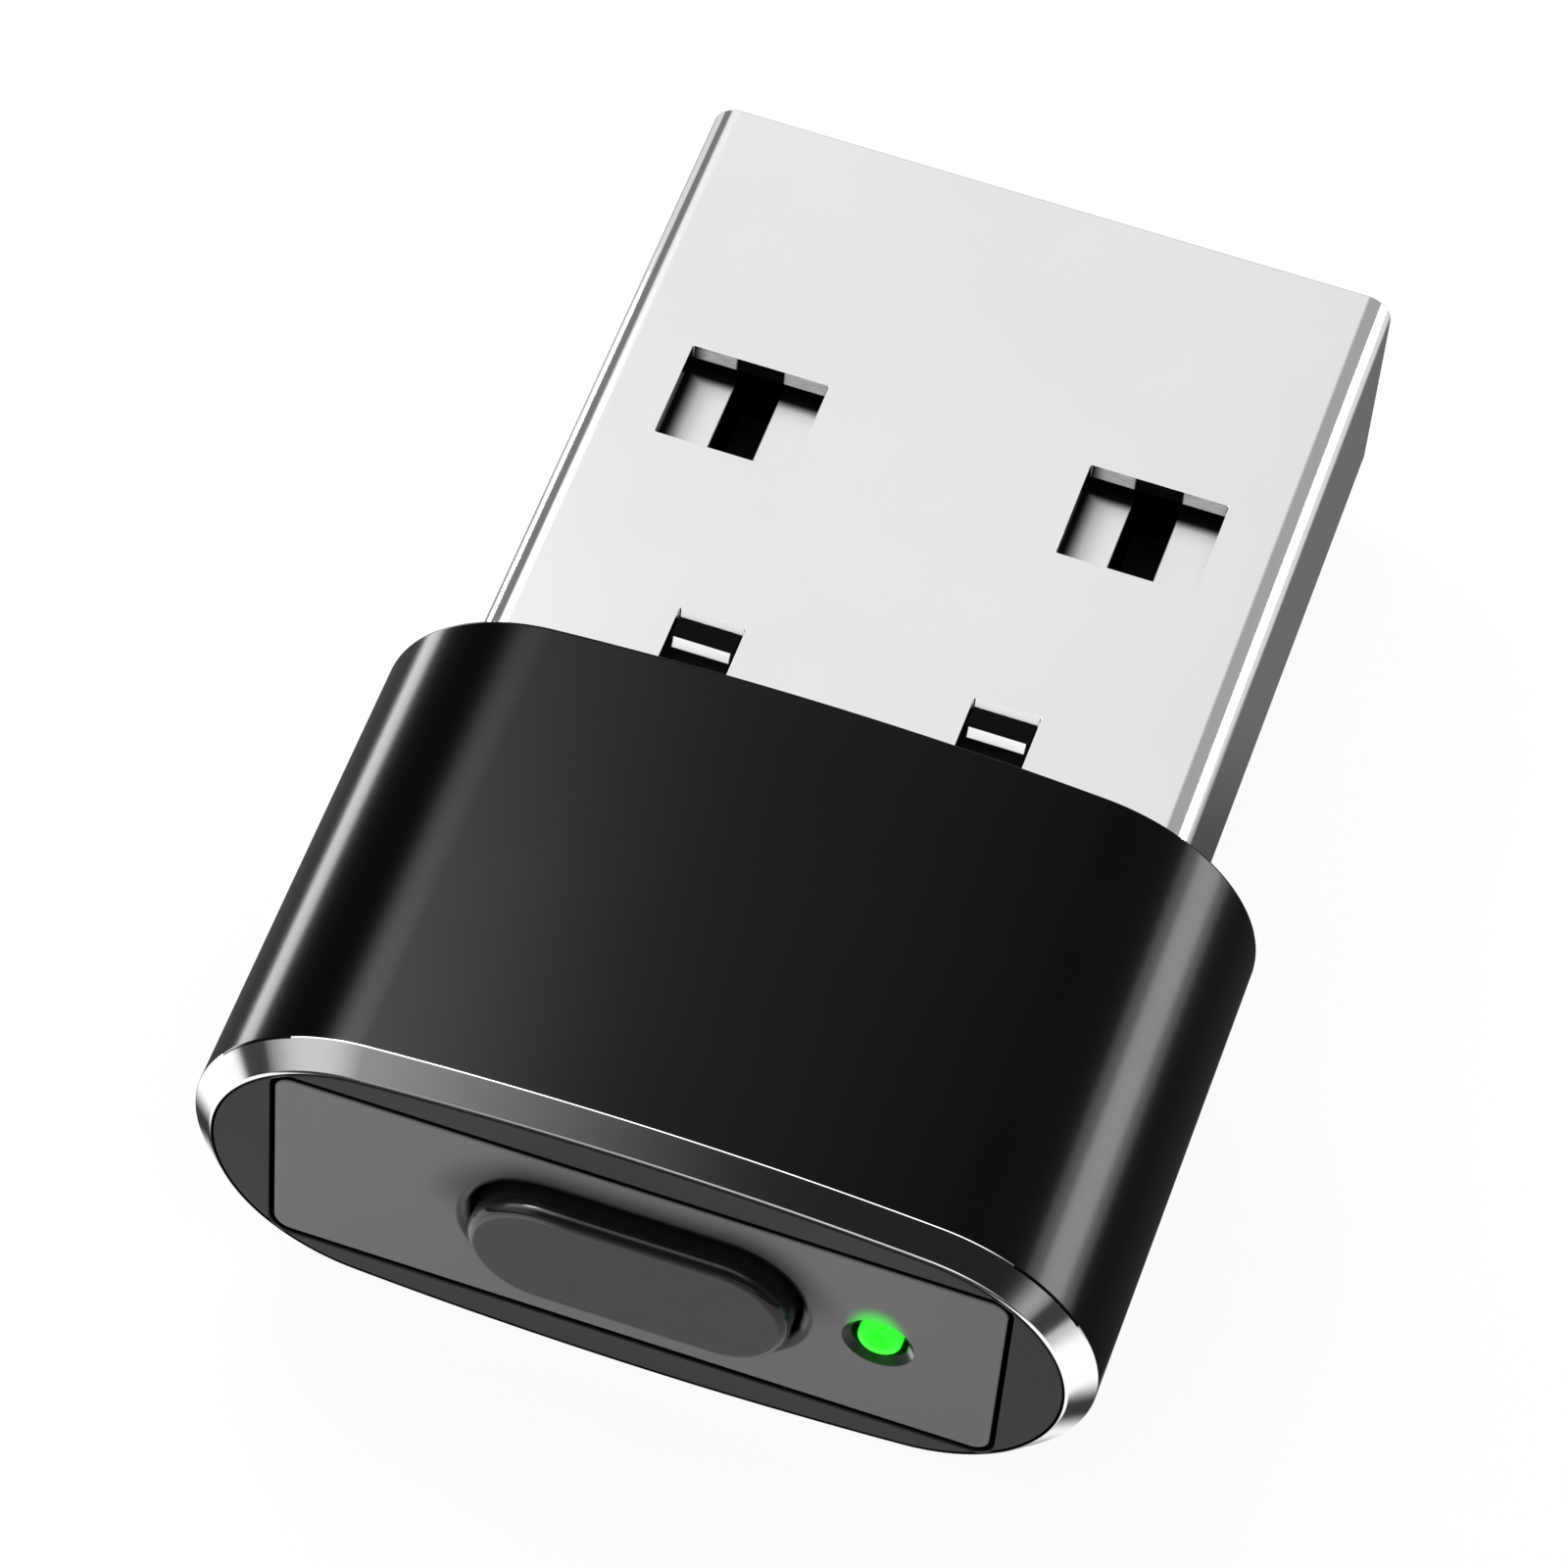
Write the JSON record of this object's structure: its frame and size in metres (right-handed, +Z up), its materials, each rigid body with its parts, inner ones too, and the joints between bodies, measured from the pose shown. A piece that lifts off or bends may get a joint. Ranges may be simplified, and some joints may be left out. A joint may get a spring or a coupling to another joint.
{
  "type": "mouse jiggler",
  "caption": "Plug-in mouse jiggler dongle: oval black metal casing with a bright chamfer, a push button, a green status light and a metal computer plug.",
  "frame": {"origin": "centre of the plug where it leaves the casing, in the plane of the casing's shoulder", "axes": "+Y along the plug towards its tip, the button faces -Y, +X to the right of the button with the light, +Z up on the side with the white tongue"},
  "size_m": [0.0148, 0.0215, 0.0066],
  "materials": {
    "anodised_shell": "black anodised, satin gloss, with a bright cut chamfer at the button end",
    "frame_plastic": "dark grey moulding, fine satin",
    "plate_plastic": "mid grey, fine satin",
    "button_plastic": "dark grey face, black rounded edge",
    "green_lens": "clear green, lit",
    "plug_steel": "nickel-plated sheet, smooth",
    "tongue_plastic": "off-white moulding",
    "contact_metal": "gold flash over copper alloy",
    "chassis_plastic": "black moulding",
    "board_laminate": "green solder mask over glass laminate",
    "chip_plastic": "black epoxy package",
    "tinned_metal": "tinned",
    "crystal_can": "drawn metal can",
    "capacitor_ceramic": "fired ceramic",
    "resistor_coat": "black glaze over ceramic",
    "led_case": "white case with a clear window",
    "switch_plastic": "black moulding",
    "cover_steel": "tinned sheet",
    "dome_steel": "spring steel",
    "plunger_plastic": "natural white moulding"
  },
  "bodies": {
    "housing": {"casing": "anodised_shell", "end_frame": "frame_plastic", "face_plate": "plate_plastic", "light_pipe": "green_lens", "plug_shell": "plug_steel", "plug_tongue": "tongue_plastic", "contact_power": "contact_metal", "contact_data_minus": "contact_metal", "contact_data_plus": "contact_metal", "contact_ground": "contact_metal", "chassis": "chassis_plastic", "circuit_board": "board_laminate", "microcontroller": "chip_plastic", "controller_pads": "tinned_metal", "crystal": "crystal_can", "chip_capacitors": "capacitor_ceramic", "chip_resistors": "resistor_coat", "chip_end_caps": "tinned_metal", "status_led": "led_case", "switch_base": "switch_plastic", "switch_cover": "cover_steel", "switch_dome": "dome_steel", "switch_terminals": "tinned_metal"},
    "button": {"button_cap": "button_plastic"},
    "plunger": {"switch_plunger": "plunger_plastic"}
  },
  "joints": [
    {"name": "button_press", "type": "slide", "parent": "housing", "child": "button", "axis": [0, 1, 0], "range_m": [0, 0.00025], "stiffness_N_per_m": 1000, "springref_m": -0.001},
    {"name": "plunger_press", "type": "slide", "parent": "housing", "child": "plunger", "axis": [0, 1, 0], "range_m": [0, 0.00025], "deforming": ["switch_dome"]}
  ],
  "couplings": [
    {"joint": "plunger_press", "follows": "button_press", "ratio": 1}
  ]
}
